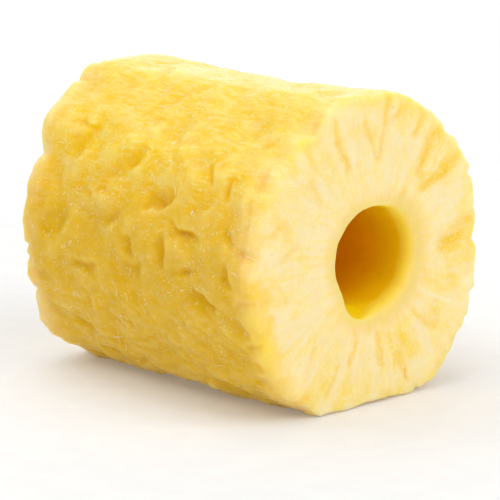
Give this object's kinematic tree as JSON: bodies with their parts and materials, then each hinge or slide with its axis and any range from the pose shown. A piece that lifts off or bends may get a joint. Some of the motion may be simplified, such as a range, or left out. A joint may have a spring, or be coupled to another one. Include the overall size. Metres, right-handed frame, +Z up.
{
  "type": "peeled cored pineapple",
  "caption": "Peeled fruit flesh cut square at both ends, with flat peel cuts along its sides, shallow eye hollows and a round bore where the core was.",
  "frame": {"origin": "on the resting peel cut, straight below the middle of the bore", "axes": "+Y along the bore from the front cut face to the back one, +Z up, away from the resting cut, +X to the right seen from the front"},
  "size_m": [0.0997, 0.11, 0.0987],
  "materials": {
    "flesh": "moist yellow fruit flesh, slightly translucent, paler cream on the two cut faces and amber inside the bore"
  },
  "bodies": {
    "root": {"pineapple_flesh": "flesh"}
  },
  "joints": []
}
